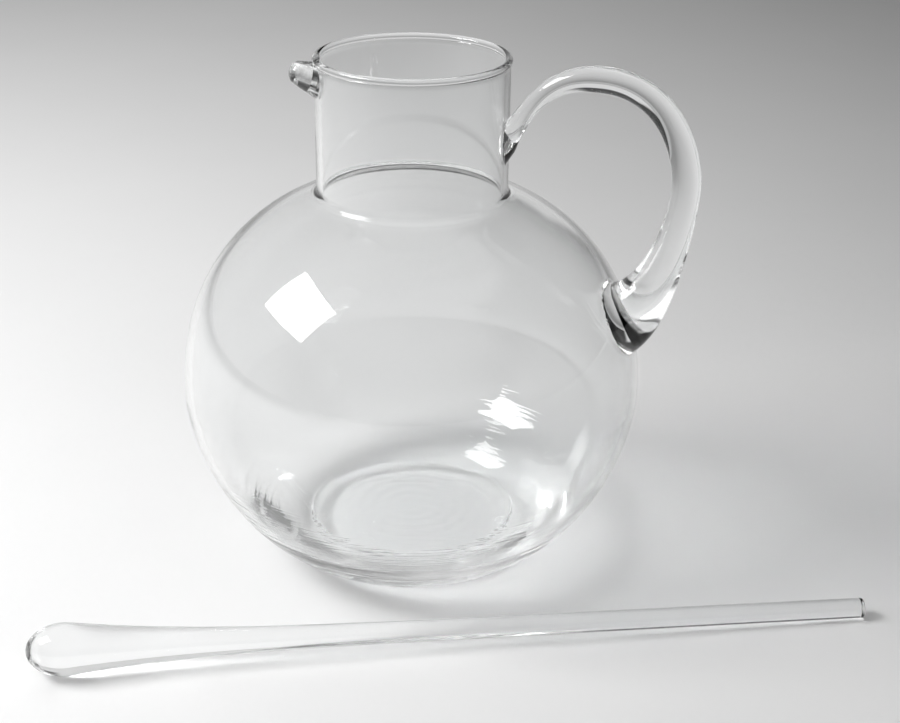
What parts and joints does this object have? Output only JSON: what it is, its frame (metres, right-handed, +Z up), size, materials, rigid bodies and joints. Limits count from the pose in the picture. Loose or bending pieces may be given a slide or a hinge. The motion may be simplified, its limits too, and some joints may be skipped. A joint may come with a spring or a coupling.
{
  "type": "cocktail pitcher",
  "caption": "Clear glass globe pitcher with straight neck, pinched pouring lip, looped rod handle and a glass stirring rod.",
  "frame": {"origin": "centre of the flat base on the table", "axes": "+Z up along the axis of bowl and neck, +X towards the handle; the pouring lip points away from it, 28 degrees round from -X towards -Y"},
  "size_m": [0.2575, 0.2071, 0.1805],
  "materials": {
    "vessel_glass": "clear polished",
    "handle_glass": "clear polished",
    "stirrer_glass": "clear polished"
  },
  "bodies": {
    "pitcher": {"vessel": "vessel_glass", "handle": "handle_glass"},
    "stirrer": {"stirrer": "stirrer_glass"}
  },
  "joints": [
    {"name": "stirrer_lift", "type": "slide", "parent": "pitcher", "child": "stirrer", "axis": [0.1986, -0.4589, 0.866], "range_m": [0, 0.2]}
  ]
}
